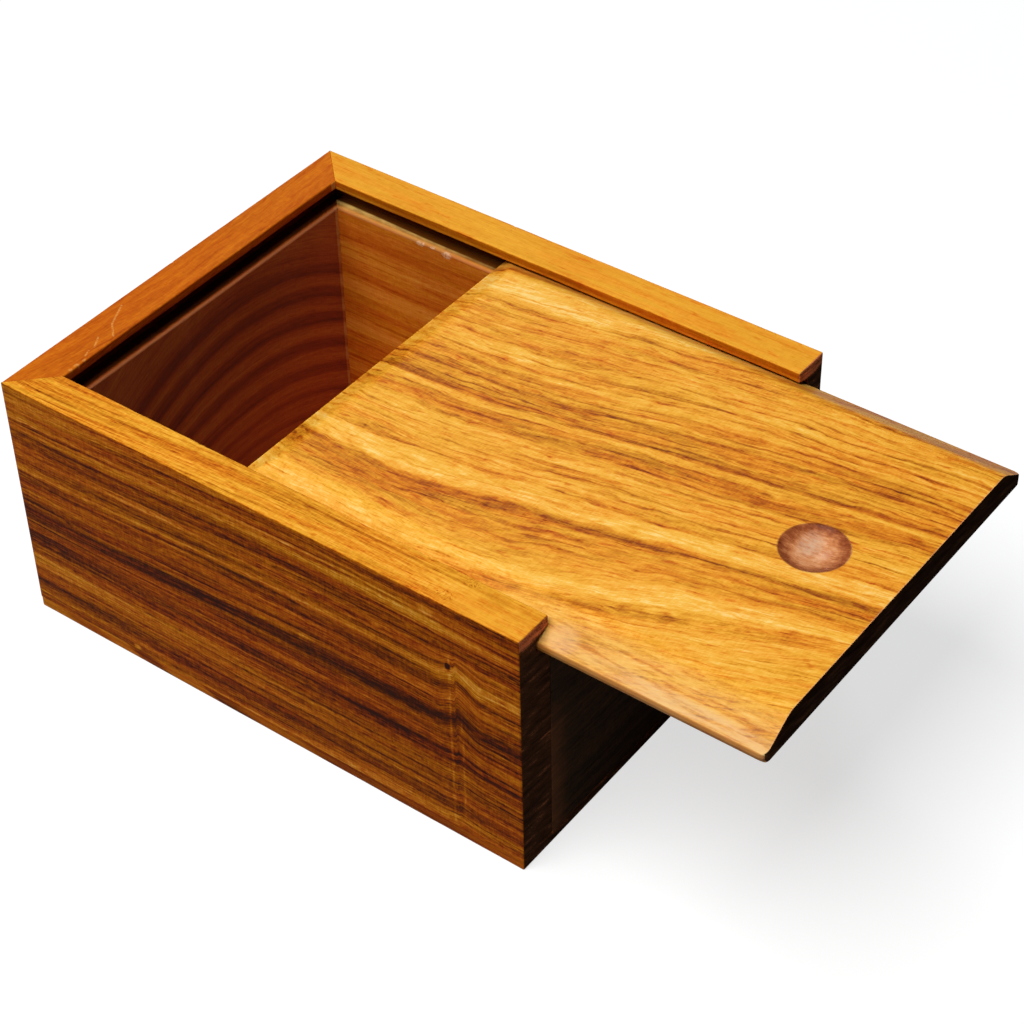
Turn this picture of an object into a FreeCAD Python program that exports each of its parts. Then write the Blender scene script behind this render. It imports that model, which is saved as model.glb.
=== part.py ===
import FreeCAD, Part
import math
import os

# A small hardwood box with a sliding lid.
#
# Two side walls and a closed end wall are mitred together, a lower front wall
# is butted between the side walls at the open end, and a thin board is glued
# on underneath.  One groove runs round the inside of the two side walls and the
# closed end wall, a little below their top.  The lid is a raised panel: its
# bevelled edges end in a thin tongue that runs in the groove, and it is pushed
# with a fingertip in a round dish near its front end.
#
# Millimetres.  The origin is the middle of the box's underside.
# +X points to the open front end, +Y to the left side wall, +Z up.
# The lid is stored part of the way out.

# ---- box -----------------------------------------------------------------
BOX_LENGTH = 150.0          # closed end to front end
BOX_WIDTH = 120.0
BOX_HEIGHT = 71.0           # table to the top of the lips
BOTTOM_THICKNESS = 3.0
WALL_THICKNESS = 11.0       # below the groove
LIP_THICKNESS = 10.4        # above the groove
GROOVE_WALL = 6.2           # wood left between the groove and the outer face

# ---- lid -----------------------------------------------------------------
LID_THICKNESS = 8.0
LID_PROUD = 0.2             # how far the lid stands above the lips
TONGUE_THICKNESS = 2.4
TONGUE_LAND = 0.2           # flat strip of tongue outside the bevel
SIDE_BEVEL_WIDTH = 8.7
END_BEVEL_WIDTH = 7.9       # at the inner end
SHOULDER_RADIUS = 4.5       # soft turn from the bevel into the flat field
UNDER_EASE = 0.6            # small chamfer under the lid's running edges
LID_OUT = 56.0              # how far out the lid is stored

# ---- finger dish -----------------------------------------------------------
DISH_DIAMETER = 15.6
DISH_DEPTH = 2.0
DISH_FROM_FRONT = 21.8      # dish centre to the lid's front end

# ---- clearances --------------------------------------------------------------
EDGE_GAP = 0.4              # tongue edge to the bottom of the groove
BEVEL_GAP = 0.35            # bevel to the lower corner of the lip, straight up
TONGUE_HEADROOM = 1.3       # tongue to the groove's ceiling, at its deep end
FRONT_WALL_GAP = 0.3        # front wall to the underside of the lid

# ---- worked out from the sizes above ------------------------------------------
HALF_LENGTH = BOX_LENGTH / 2
HALF_WIDTH = BOX_WIDTH / 2
LEDGE_Z = BOX_HEIGHT + LID_PROUD - LID_THICKNESS    # floor of the groove, where the lid runs
LID_EDGE = GROOVE_WALL + EDGE_GAP                   # outer face of the box to the lid's edge
LID_LENGTH = BOX_LENGTH - LID_EDGE                  # closed, the lid ends flush with the box
LID_WIDTH = BOX_WIDTH - 2 * LID_EDGE
BEVEL_RISE = LID_THICKNESS - TONGUE_THICKNESS

V = FreeCAD.Vector


def extruded(edges, along):
    """A solid from a closed outline, pushed along a vector."""
    return Part.Face(Part.Wire(edges)).extrude(along)


def outline(points):
    """Straight edges through the points and back to the first."""
    return Part.makePolygon(points + points[:1]).Edges


# ---- walls ---------------------------------------------------------------------

def lid_height_at(inward, bevel_width):
    """Height of the lid's upper surface above the ledge, this far in from its edge."""
    up_the_bevel = max(0.0, inward - TONGUE_LAND) * BEVEL_RISE / bevel_width
    return min(TONGUE_THICKNESS + up_the_bevel, LID_THICKNESS)


def wall_section(bevel_width):
    """Section of a grooved wall as (distance in from the outer face, height).

    The underside of its lip follows the lid's bevel, a little above it.
    """
    lip_corner_z = LEDGE_Z + lid_height_at(LIP_THICKNESS - LID_EDGE, bevel_width) + BEVEL_GAP
    ceiling_z = LEDGE_Z + TONGUE_THICKNESS + TONGUE_HEADROOM
    return [
        (0.0, BOTTOM_THICKNESS),
        (WALL_THICKNESS, BOTTOM_THICKNESS),
        (WALL_THICKNESS, LEDGE_Z),
        (GROOVE_WALL, LEDGE_Z),
        (GROOVE_WALL, ceiling_z),
        (LIP_THICKNESS, lip_corner_z),
        (LIP_THICKNESS, BOX_HEIGHT),
        (0.0, BOX_HEIGHT),
    ]


def corner_block():
    """The space of the closed end wall, with its two corners cut at 45 degrees."""
    inner_x = -HALF_LENGTH + WALL_THICKNESS
    inner_y = HALF_WIDTH - WALL_THICKNESS
    plan = [
        V(-HALF_LENGTH, -HALF_WIDTH, 0),
        V(inner_x, -inner_y, 0),
        V(inner_x, inner_y, 0),
        V(-HALF_LENGTH, HALF_WIDTH, 0),
    ]
    return extruded(outline(plan), V(0, 0, BOX_HEIGHT))


def side_wall(side):
    """A long grooved wall, open at the front and mitred at the closed end."""
    profile = wall_section(SIDE_BEVEL_WIDTH)
    section = [V(-HALF_LENGTH, side * (HALF_WIDTH - inward), z) for inward, z in profile]
    return extruded(outline(section), V(BOX_LENGTH, 0, 0)).cut(corner_block())


def closed_end_wall():
    """The grooved wall that joins the side walls with a mitre at each end."""
    profile = wall_section(END_BEVEL_WIDTH)
    section = [V(-HALF_LENGTH + inward, -HALF_WIDTH, z) for inward, z in profile]
    return extruded(outline(section), V(0, BOX_WIDTH, 0)).common(corner_block())


def front_wall():
    """The lower wall at the open end, between the side walls and under the lid."""
    width = BOX_WIDTH - 2 * WALL_THICKNESS
    height = LEDGE_Z - FRONT_WALL_GAP - BOTTOM_THICKNESS
    corner = V(HALF_LENGTH - WALL_THICKNESS, -width / 2, BOTTOM_THICKNESS)
    return Part.makeBox(WALL_THICKNESS, width, height, corner)


def bottom_board():
    """The thin board under all four walls, flush with their outer faces."""
    corner = V(-HALF_LENGTH, -HALF_WIDTH, 0)
    return Part.makeBox(BOX_LENGTH, BOX_WIDTH, BOTTOM_THICKNESS, corner)


# ---- lid -------------------------------------------------------------------------

def bevelled_edge(bevel_width, place):
    """Edges of one running edge of the lid, from its underside up to the flat field.

    place turns (distance in from the edge, height above the underside) into a point.
    Returns the edges, the point they start from and the point they end at.
    """
    slope = math.atan2(BEVEL_RISE, bevel_width)
    tangent = SHOULDER_RADIUS * math.tan(slope / 2)
    shoulder = TONGUE_LAND + bevel_width
    arc_start = (
        shoulder - tangent * math.cos(slope),
        LID_THICKNESS - tangent * math.sin(slope),
    )
    arc_end = (shoulder + tangent, LID_THICKNESS)
    arc_middle = (
        arc_end[0] - SHOULDER_RADIUS * math.sin(slope / 2),
        LID_THICKNESS - SHOULDER_RADIUS * (1 - math.cos(slope / 2)),
    )
    corners = [
        place(UNDER_EASE, 0),
        place(0, UNDER_EASE),
        place(0, TONGUE_THICKNESS),
        place(TONGUE_LAND, TONGUE_THICKNESS),
        place(*arc_start),
    ]
    edges = [Part.LineSegment(a, b).toShape() for a, b in zip(corners, corners[1:])]
    edges.append(Part.Arc(corners[-1], place(*arc_middle), place(*arc_end)).toShape())
    return edges, corners[0], place(*arc_end)


def across_the_lid(start_x):
    """Outline of the lid seen from its front end: a bevel on both sides."""
    edge_y = LID_WIDTH / 2
    right, right_foot, right_top = bevelled_edge(
        SIDE_BEVEL_WIDTH, lambda inward, z: V(start_x, inward - edge_y, LEDGE_Z + z)
    )
    left, left_foot, left_top = bevelled_edge(
        SIDE_BEVEL_WIDTH, lambda inward, z: V(start_x, edge_y - inward, LEDGE_Z + z)
    )
    top = Part.LineSegment(right_top, left_top).toShape()
    underside = Part.LineSegment(left_foot, right_foot).toShape()
    return right + [top] + left[::-1] + [underside]


def along_the_lid(start_x):
    """Outline of the lid seen from its side: a bevel at the inner end, a square front end."""
    edge_y = -LID_WIDTH / 2
    inner, foot, top = bevelled_edge(
        END_BEVEL_WIDTH, lambda inward, z: V(start_x + inward, edge_y, LEDGE_Z + z)
    )
    front_x = start_x + LID_LENGTH
    front_top = V(front_x, edge_y, LEDGE_Z + LID_THICKNESS)
    front_foot = V(front_x, edge_y, LEDGE_Z)
    front = outline([top, front_top, front_foot, foot])[:3]
    return inner + front


def finger_dish(front_x):
    """The ball that hollows out the shallow round dish."""
    radius = (DISH_DIAMETER ** 2 / 4 + DISH_DEPTH ** 2) / (2 * DISH_DEPTH)
    centre_z = LEDGE_Z + LID_THICKNESS - DISH_DEPTH + radius
    return Part.makeSphere(radius, V(front_x - DISH_FROM_FRONT, 0, centre_z))


def lid():
    """The raised panel that slides in the groove, pulled out by LID_OUT."""
    front_x = HALF_LENGTH + LID_OUT
    start_x = front_x - LID_LENGTH
    panel = extruded(across_the_lid(start_x), V(LID_LENGTH, 0, 0))
    panel = panel.common(extruded(along_the_lid(start_x), V(0, LID_WIDTH, 0)))
    return panel.cut(finger_dish(front_x))


# ---- write one file per piece -------------------------------------------------------

PIECES = {
    "side_wall_left": side_wall(1),
    "side_wall_right": side_wall(-1),
    "end_wall_closed": closed_end_wall(),
    "end_wall_front": front_wall(),
    "bottom_board": bottom_board(),
    "sliding_lid": lid(),
}

os.makedirs("parts", exist_ok=True)
for name, piece in PIECES.items():
    piece.exportStep("parts/" + name + ".step")
    box = piece.BoundBox
    size = f"{box.XLength:.1f} x {box.YLength:.1f} x {box.ZLength:.1f} mm"
    print(f"{name}: {len(piece.Solids)} solid, {size}, {piece.Volume / 1000:.1f} cm3")
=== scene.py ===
# %% [markdown]
# # A small hardwood box with a sliding lid
#
# Six boards make the box: two long side walls and a closed end wall that meet in mitres, a lower
# front wall, a thin bottom, and a raised-panel lid that slides in a groove.  A CAD model gives
# their sizes and places, and Blender gives each board its eased edges and its own figured wood.
#
# Everything is in metres: +X points to the open front end, +Y to the left wall, +Z up, and the
# origin is the middle of the underside.

# %% Load the CAD model as a fixed frame
import math

import bmesh
import bpy
from mathutils import Matrix, Vector


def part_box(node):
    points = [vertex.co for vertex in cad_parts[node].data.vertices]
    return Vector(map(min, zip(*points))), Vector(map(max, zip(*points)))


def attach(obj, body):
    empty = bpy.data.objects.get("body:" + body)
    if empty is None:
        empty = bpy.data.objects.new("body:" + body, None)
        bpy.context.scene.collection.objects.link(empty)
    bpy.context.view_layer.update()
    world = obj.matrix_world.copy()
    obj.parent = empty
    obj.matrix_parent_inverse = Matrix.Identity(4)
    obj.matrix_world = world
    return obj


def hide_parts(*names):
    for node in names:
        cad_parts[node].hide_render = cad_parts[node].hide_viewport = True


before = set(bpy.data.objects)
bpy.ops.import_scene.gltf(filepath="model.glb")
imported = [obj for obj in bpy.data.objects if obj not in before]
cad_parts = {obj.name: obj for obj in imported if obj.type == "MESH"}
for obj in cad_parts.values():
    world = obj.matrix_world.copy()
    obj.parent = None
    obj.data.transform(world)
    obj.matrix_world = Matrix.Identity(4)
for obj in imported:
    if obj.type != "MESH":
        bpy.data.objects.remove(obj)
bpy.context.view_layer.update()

MM = 0.001

for cad_node in sorted(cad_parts):
    low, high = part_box(cad_node)
    size = [round((b - a) / MM, 1) for a, b in zip(low, high)]
    print(f"{cad_node}: {size} mm")

# %% [markdown]
# ## The camera
#
# The box is seen from above its near front corner.  A camera is easiest to place as on a tripod:
# a position, the compass direction it looks in, measured from +X towards +Y, how far it looks
# down, and a small roll.  Unturned, a camera looks straight down with +Y as its up, so it is
# rolled first, then tilted up from there, turned to its direction, and moved.

# %% Camera
CAMERA_PLACE = Vector((0.30309, -0.35812, 0.43435))
LOOKS_TOWARDS = math.radians(127.525)
LOOKS_DOWN = math.radians(41.112)
ROLL = math.radians(-1.423)
LENS_MM = 89.20
SENSOR_MM = 36.0

camera = bpy.data.objects.new("camera", bpy.data.cameras.new("camera"))
bpy.context.scene.collection.objects.link(camera)
bpy.context.scene.camera = camera
camera.data.lens = LENS_MM
camera.data.sensor_width = SENSOR_MM
camera.data.clip_start = 0.01
camera.data.clip_end = 50
turned = Matrix.Rotation(LOOKS_TOWARDS - math.pi / 2, 4, "Z")
tilted = Matrix.Rotation(math.pi / 2 - LOOKS_DOWN, 4, "X")
rolled = Matrix.Rotation(ROLL, 4, "Z")
camera.matrix_world = Matrix.Translation(CAMERA_PLACE) @ turned @ tilted @ rolled
print("camera", [round(v, 3) for v in camera.location])

# %% [markdown]
# ## Arithmetic with nodes
#
# Materials and Geometry Nodes are both trees of small nodes.  They can be wired up by hand, but a
# board's material here has a few hundred.  So a node's output is wrapped as a Value that Python's
# own signs work on: height * 2 + 1 adds a Multiply and an Add node and links them.

# %% A helper for node trees
def feed(node, inputs):
    """Fill a node's sockets, in order or by name, with plain values or links."""
    sockets = inputs.items() if isinstance(inputs, dict) else enumerate(inputs)
    for socket, item in sockets:
        if isinstance(item, Value):
            node.id_data.links.new(item.socket, node.inputs[socket])
        else:
            node.inputs[socket].default_value = item
    return node


def add_node(tree, kind, inputs=(), **settings):
    made = tree.nodes.new(kind)
    for name, setting in settings.items():
        setattr(made, name, setting)
    return feed(made, inputs)


class Value:
    """One output of a node.  A sign between two values adds a Math node to their tree."""

    def __init__(self, node, output=0):
        self.tree = node.id_data
        self.socket = node.outputs[output]

    def __abs__(self):
        return math_node("ABSOLUTE", self)


for sign, operation in {"add": "ADD", "sub": "SUBTRACT", "mul": "MULTIPLY", "truediv": "DIVIDE"}.items():
    setattr(Value, f"__{sign}__", lambda a, b, operation=operation: math_node(operation, a, b))
    setattr(Value, f"__r{sign}__", lambda a, b, operation=operation: math_node(operation, b, a))


def result(kind, inputs, output=0, **settings):
    """Add a node to the tree of its inputs, and return one of its outputs."""
    items = inputs.values() if isinstance(inputs, dict) else inputs
    tree = next(item.tree for item in items if isinstance(item, Value))
    return Value(add_node(tree, kind, inputs, **settings), output)


def math_node(operation, *values):
    return result("ShaderNodeMath", values, operation=operation)


print("node helper ready")

# %% [markdown]
# ## Names for the nodes used most
#
# Remap is the workhorse of everything below.  It answers how far a measure is between two limits,
# and holds the answer at both ends, so it makes soft masks as well as slopes.

# %% Short names for common nodes
def minimum(first, second):
    return math_node("MINIMUM", first, second)


def maximum(first, second):
    return math_node("MAXIMUM", first, second)


def root(value):
    return math_node("SQRT", value)


def vector(x, y, z):
    return result("ShaderNodeCombineXYZ", (x, y, z))


def split(place):
    made = add_node(place.tree, "ShaderNodeSeparateXYZ", [place])
    return [Value(made, axis) for axis in range(3)]


def remap(value, low, high, out_low=0.0, out_high=1.0, smooth=True):
    """Map low..high to out_low..out_high, held outside, with soft ends if smooth."""
    kind = "SMOOTHSTEP" if smooth else "LINEAR"
    return result("ShaderNodeMapRange", (value, low, high, out_low, out_high), interpolation_type=kind)


def noise(place, detail=2.0, roughness=0.5, distortion=0.0):
    return result("ShaderNodeTexNoise", {
        "Vector": place, "Scale": 1.0, "Detail": detail, "Roughness": roughness, "Distortion": distortion,
    })


def new_tree(name, kind, inputs, outputs):
    """A node group with these sockets, and its inputs as values by name."""
    tree = bpy.data.node_groups.new(name, kind)
    for in_out, sockets in (("INPUT", inputs), ("OUTPUT", outputs)):
        for label, socket_kind in sockets.items():
            tree.interface.new_socket(label, in_out=in_out, socket_type="NodeSocket" + socket_kind)
    given = tree.nodes.new("NodeGroupInput")
    return tree, {label: Value(given, label) for label in inputs}


print("node names ready")

# %% [markdown]
# ## The fine structure of the wood
#
# Close up, this wood is fibres along the grain, thin dark lines between the growth layers, reddish
# flecks, and short pores cut open lengthwise.  All of them are noise, squeezed across the grain
# and stretched along it.  They are read at a point's place inside the solid board, so the streaks
# run over an arris onto the next face.
#
# Growth layers are never ruler-straight, so one node group bends the measure across the grain, and
# a second holds the patterns.  Every board's material uses both with its own coordinates.

# %% The node groups of the grain
def grain_tree(name, outputs):
    inputs = ("Along", "Across", "Depth", "Seed", "Drawn Out")
    sockets = [dict.fromkeys(labels, "Float") for labels in (inputs, outputs)]
    return new_tree(name, "ShaderNodeTree", *sockets)


def stretched(given, length, width, detail, roughness, shift, drawn_out=False):
    """Noise in blobs of length by width, in millimetres."""
    along = given["Along"] / given["Drawn Out"] if drawn_out else given["Along"]
    moved = given["Across"] + given["Seed"] + shift
    place = vector(along * (1 / length), moved * (1 / width), given["Depth"] * (0.2 / width))
    return noise(place, detail, roughness)


def make_wander():
    tree, given = grain_tree("wander", ["Across"])
    across = given["Across"]
    for length, width, sway, shift in ((45, 14, 4.0, 5), (11, 3, 1.5, 19), (3.0, 0.7, 0.75, 43)):
        lean = stretched(given, length, width, 1, 0.5, shift, True) - 0.5
        across = across + lean * sway
    add_node(tree, "NodeGroupOutput", [across])
    return tree


def make_fine_grain():
    names = ["Figure", "Threads", "Lines", "Flecks", "Fibres", "Ripple", "Pores", "Warmth", "Breaks"]
    tree, given = grain_tree("fine_grain", names)
    add_node(tree, "NodeGroupOutput", [
        stretched(given, 60, 4.0, 3, 0.55, 0, True),
        stretched(given, 22, 0.9, 1, 0.6, 131, True),
        remap(stretched(given, 26, 0.8, 2, 0.6, 31, True), 0.54, 0.72),
        remap(stretched(given, 4.5, 0.8, 2, 0.55, 71), 0.57, 0.72),
        stretched(given, 3.4, 0.30, 2, 0.65, 57),
        stretched(given, 0.5, 1.6, 1, 0.5, 151),
        remap(stretched(given, 2.0, 0.22, 1, 0.4, 83), 0.62, 0.74),
        remap(stretched(given, 20, 2.6, 2, 0.5, 97, True), 0.36, 0.64),
        remap(stretched(given, 11, 1.6, 1, 0.5, 11, True), 0.36, 0.60, 0.25, 1.25),
    ])
    return tree


WANDER = make_wander()
FINE_GRAIN = make_fine_grain()
print("grain groups:", len(WANDER.nodes), "and", len(FINE_GRAIN.nodes), "nodes")

# %% [markdown]
# ## The colours of the wood
#
# A board's look starts as a tone from 0, the darkest heartwood, to 1, the palest gold, and only
# at the end is it looked up in a row of colours.  That way a dark pore in a pale band is still
# brown and never grey.  Most boards mix two rows, because the growth layers differ in redness too.
# The rows are written as painters name colours, 0 to 255, and turned into linear light.

# %% Colours and ramps
def srgb(red, green, blue):
    """A colour named 0 to 255, as linear light."""
    shares = [v / 255 for v in (red, green, blue)]
    return (*[((v + 0.055) / 1.055) ** 2.4 if v > 0.04 else v / 12.92 for v in shares], 1.0)


def ramp(value, stops):
    """A colour ramp; each stop is (position, grey) or (position, colour)."""
    made = add_node(value.tree, "ShaderNodeValToRGB", [value])
    elements = made.color_ramp.elements
    while len(elements) < len(stops):
        elements.new(0.5)
    for element, (position, colour) in zip(elements, stops):
        element.position = position
    for element, (position, colour) in zip(elements, stops):
        element.color = (colour, colour, colour, 1.0) if isinstance(colour, (int, float)) else colour
    return Value(made)


def blend(amount, first, second):
    inputs = {0: amount, 6: first, 7: second}
    return result("ShaderNodeMix", inputs, output=2, data_type="RGBA", blend_type="MIX")


def two_rows(tone, warmth, cool, warm):
    """The tone as a colour, between two rows of colours."""
    return blend(warmth, ramp(tone, cool), ramp(tone, warm))


def row(*colours):
    """A row of colours from dark to pale, at even distances."""
    return [(i / (len(colours) - 1), srgb(*colour)) for i, colour in enumerate(colours)]


GOLDEN = row(
    (108, 44, 6), (150, 76, 11), (191, 116, 19), (220, 146, 33), (240, 170, 50), (248, 188, 74),
    (252, 212, 124),
)
REDDISH = row(
    (108, 36, 5), (150, 59, 8), (190, 88, 12), (220, 120, 22), (240, 154, 42), (248, 180, 70),
    (252, 206, 118),
)
BROWN = row(
    (48, 18, 2), (94, 38, 3), (142, 66, 4), (178, 95, 8), (206, 124, 18), (230, 154, 40),
    (244, 188, 88),
)
RUSSET = row(
    (50, 13, 4), (98, 30, 6), (144, 50, 8), (180, 76, 13), (206, 106, 24), (226, 138, 46),
    (244, 180, 90),
)
DISH_BROWN = row((92, 38, 18), (150, 78, 42), (204, 130, 80), (236, 178, 130))
END_GRAIN = row((34, 22, 15), (58, 38, 27), (92, 60, 40), (226, 134, 90))
# This row is a painted shadow, for the front wall's outer face under the lid.
LID_SHADOW = row((40, 31, 25), (64, 51, 41), (109, 72, 49), (150, 100, 60), (180, 130, 80))
ROWS = (GOLDEN, REDDISH, BROWN, RUSSET, DISH_BROWN, END_GRAIN, LID_SHADOW)
print("colours in each row:", [len(colours) for colours in ROWS])

# %% [markdown]
# ## Bands, streaks and marks
#
# Broad pale and dark bands run with the grain, with sharper streaks among them, and here and there
# a fleck, a chip or a scratch.  Painting them as a picture would tie them to one face.  Here each
# is a rule in millimetres: a distance across the grain, or a distance from a point or a line.

# %% Helpers for bands, streaks and marks
def bands(across, stops):
    """Grey bands across the grain: stops is {millimetres: tone}, lowest first."""
    low, high = min(stops), max(stops)
    share = remap(across, low, high, smooth=False)
    return ramp(share, [((at - low) / (high - low), tone) for at, tone in stops.items()])


def window(value, low, high, soft):
    """1 between low and high, 0 outside, with soft ends."""
    return remap(value, low - soft, low) * remap(value, high, high + soft, 1.0, 0.0)


def streaks(across, places):
    """The sum of dark streaks: places are (millimetres across, half width, depth of tone)."""
    return sum(
        remap(abs(across - at), half_width * 0.35, half_width * 1.3, depth, 0.0)
        for at, half_width, depth in places
    )


def spot(x, y, at_x, at_y, long, wide):
    """1 at a place, fading to 0 at the rim of an ellipse."""
    u = (x - at_x) * (1 / long)
    v = (y - at_y) * (1 / wide)
    return remap(u * u + v * v, 0.0, 1.0, 1.0, 0.0)


def spots(x, y, places):
    """The sum of several spots: places are (x, y, half length, half width, amount)."""
    return sum(spot(x, y, *place) * amount for *place, amount in places)


def scratch(x, y, start, end, width):
    """1 on a thin straight line from start to end."""
    (ax, ay), (bx, by) = start, end
    u, v = x - ax, y - ay
    share = (u * (bx - ax) + v * (by - ay)) / ((bx - ax) ** 2 + (by - ay) ** 2)
    share = minimum(maximum(share, 0.0), 1.0)
    off_x, off_y = u - share * (bx - ax), v - share * (by - ay)
    distance = root(off_x * off_x + off_y * off_y)
    return remap(distance, width * 0.3, width, 1.0, 0.0)


print("mark helpers ready")

# %% [markdown]
# ## One recipe for every board's material
#
# A board's own figure sets the tone, and the fine structure is added to it, the same for all
# boards.  Its paint then makes the tone a colour.  The surface is rubbed with oil: it reflects
# little, and the fibres and pores are a bump of a few hundredths of a millimetre.  With one
# function for all this, the boards differ only where real boards do.

# %% The recipe
def blank(name):
    """An empty material, and the object's coordinates in millimetres."""
    material = bpy.data.materials.new(name)
    material.use_nodes = True
    material.node_tree.nodes.clear()
    place = Value(material.node_tree.nodes.new("ShaderNodeTexCoord"), "Object")
    return material, [v * (1 / MM) for v in split(place)]


def surface(colour, roughness, gloss, height):
    """The shader with a very shallow bump; gloss is how much light it reflects."""
    bump = result("ShaderNodeBump", {"Strength": 0.5, "Distance": 0.04 * MM, "Height": height})
    shader = result("ShaderNodeBsdfPrincipled", {
        "Base Color": colour, "Roughness": roughness, "Specular IOR Level": gloss, "Normal": bump,
    })
    add_node(shader.tree, "ShaderNodeOutputMaterial", {"Surface": shader})


def wood(name, figure, paint, seed, work=1.0, sway=1.0, length=1.0, gloss=0.02, polish=None):
    """A wood material.

    figure(x, y, z, bent), in millimetres, returns (along, across, depth, tone, streaks), and its
    bent(along, across, depth) makes a measure wander.  paint(tone, warmth, x, y, z) turns the tone
    into a colour.  work is how lively the wood is, sway how much its streaks wander, and length
    how drawn out its fibres are.
    """
    material, (x, y, z) = blank(name)

    def bent(along, across, depth):
        inputs = (along, across, depth, float(seed), length)
        wandered = result("ShaderNodeGroup", inputs, node_tree=WANDER)
        return across + (wandered - across) * sway

    along, across, depth, tone, marks = figure(x, y, z, bent)
    inputs = (along, across, depth, float(seed), length)
    grain = add_node(material.node_tree, "ShaderNodeGroup", inputs, node_tree=FINE_GRAIN)
    fine = {socket.name: Value(grain, socket.name) for socket in grain.outputs}
    tone = (
        tone
        - marks * fine["Breaks"]
        + (fine["Figure"] - 0.5) * (0.60 * work)
        + (fine["Threads"] - 0.5) * (0.30 * work * length)
        + (fine["Ripple"] - 0.5) * (0.22 * work)
        - fine["Lines"] * (0.19 * work)
        - fine["Flecks"] * (0.13 * work)
        + (fine["Fibres"] - 0.5) * (0.70 * work)
        - fine["Pores"] * (0.12 * work)
    )
    warmth = fine["Warmth"] * 0.6 + fine["Flecks"] * 0.5
    roughness = 0.40 + fine["Fibres"] * 0.16 + fine["Pores"] * 0.12
    if polish:
        roughness = roughness - polish(x, y, z) * 0.24
    surface(paint(tone, warmth, x, y, z), roughness, gloss, fine["Fibres"] * 0.7 - fine["Pores"])
    print(f"{name}: {len(material.node_tree.nodes)} nodes")
    return material


print("recipe ready")

# %% [markdown]
# ## End grain
#
# Where a board is cut across, its fibres are seen end on, like a bundle of straws.  End grain soaks
# up oil and is much darker, with fine sloping growth lines.  The cut faces wear a material of
# their own, which is simpler than a mask in the long grain's.

# %% End grain
def end_wood(name, seed, base, top_lift):
    """The cut end of boards that run along X: sloping growth lines and pores."""
    material, (x, y, z) = blank(name)
    layer = z * 0.9 + y * 0.16 + seed
    lines = noise(vector(layer * 0.65, (y - z) * 0.10, seed), 3, 0.6)
    pores = noise(vector(y * 2.6, z * 2.6, seed), 1, 0.5)
    near_top = remap(z, 66.8, 68.6, 0.0, top_lift)
    tone = base + (lines - 0.5) * 1.3 + (pores - 0.5) * 0.5 + near_top
    surface(ramp(tone, END_GRAIN), 0.6 + pores * 0.3, 0.0, pores)
    return material


wall_end = end_wood("wall_end_grain", seed=3.0, base=0.52, top_lift=0.40)
lid_end = end_wood("lid_end_grain", seed=11.0, base=0.34, top_lift=-0.10)
print("end grain:", wall_end.name, lid_end.name)

# %% [markdown]
# ## The paint of the walls
#
# The walls' tops are painted pale gold like the lid and their sides darker brown: painted light
# and shade, on top of what the lamps give.  The groove under the lip is painted dark, a painted
# shade, and a strip at its lower inner edge, where the lid rubs, is bare wood painted paler still,
# partly a painted highlight.  One paint serves all the grooved walls, because it measures how far
# a point lies in from the wall's own outer face.

# %% Paint for the walls
SIDE_FACE, CLOSED_FACE = 60.0, 75.0
LEDGE = 63.0
LIP_FOOT = 68.0


def facing_up(tree):
    """1 on faces that look up, 0 on the sides."""
    normal = Value(tree.nodes.new("ShaderNodeTexCoord"), "Normal")
    return remap(split(normal)[2], 0.4, 0.9)


def on_lip_top(z):
    return facing_up(z.tree) * remap(z, 68, 70)


def wall_paint(
    inward, cool=BROWN, warm=RUSSET, top_lift=0.0, top_red=0.0, inside_lift=0.20, lip_lift=-0.10
):
    """Paint for a grooved wall; inward(x, y) is the distance in from its outer face."""

    def paint(tone, warmth, x, y, z):
        deep = inward(x, y)
        inside = remap(deep, 9.0, 10.8) * remap(z, 64, 67, inside_lift, lip_lift)
        # The side is painted darker brown and the top paler gold: painted shade and painted light.
        side = two_rows(tone + inside, warmth, cool, warm)
        top_warmth = warmth * (1.0 - top_red) + top_red
        top = two_rows(0.18 + top_lift + tone * 0.75, top_warmth, GOLDEN, REDDISH)
        colour = blend(on_lip_top(z), side, top)
        # The groove is painted dark brown: painted shade under the lip.
        groove_shade = window(z, LEDGE, LIP_FOOT, 0.6) * window(deep, 5.5, 9.6, 0.5)
        colour = blend(groove_shade * 0.75, colour, srgb(58, 36, 14))
        # A pale strip on the ledge's edge: bare wood, and a painted highlight where light catches it.
        wear_and_highlight = window(z, LEDGE - 0.2, LEDGE + 0.6, 0.25) * window(deep, 10.45, 11.3, 0.3)
        return blend(wear_and_highlight * 0.85, colour, srgb(204, 116, 62))

    return paint


def from_near(x, y):
    return y + SIDE_FACE


def from_far(x, y):
    return SIDE_FACE - y


def from_closed(x, y):
    return x + CLOSED_FACE


def brown_paint(tone, warmth, x, y, z):
    return two_rows(tone, warmth, BROWN, RUSSET)


# Between these heights the groove is painted dark, as painted shade.
print("the groove is dull from", LEDGE, "to", LIP_FOOT, "mm above the table")

# %% [markdown]
# ## The near wall
#
# Its streaks are straight near the foot and climb a little above that.  Near the front end a twig
# once grew: they part round a narrow upright scar with a tiny hole above it.  A knot could be a
# texture of its own, but with the measure across the grain bent, every streak goes round by itself.

# %% The near wall's wood
SCAR_X = 57.0


def lifted_by_twig(x, z):
    before = remap(x, 52.5, SCAR_X, 0, 1.6) * remap(x, SCAR_X, 57.8, 1, 0)
    behind = remap(x, 57.2, 64.5, 3.2, 0) * remap(x, SCAR_X, 57.8, 0, 1)
    return (before + behind) * remap(z, 52, 60, 1, 0) * remap(z, 22, 42, 0.25, 1)


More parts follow.
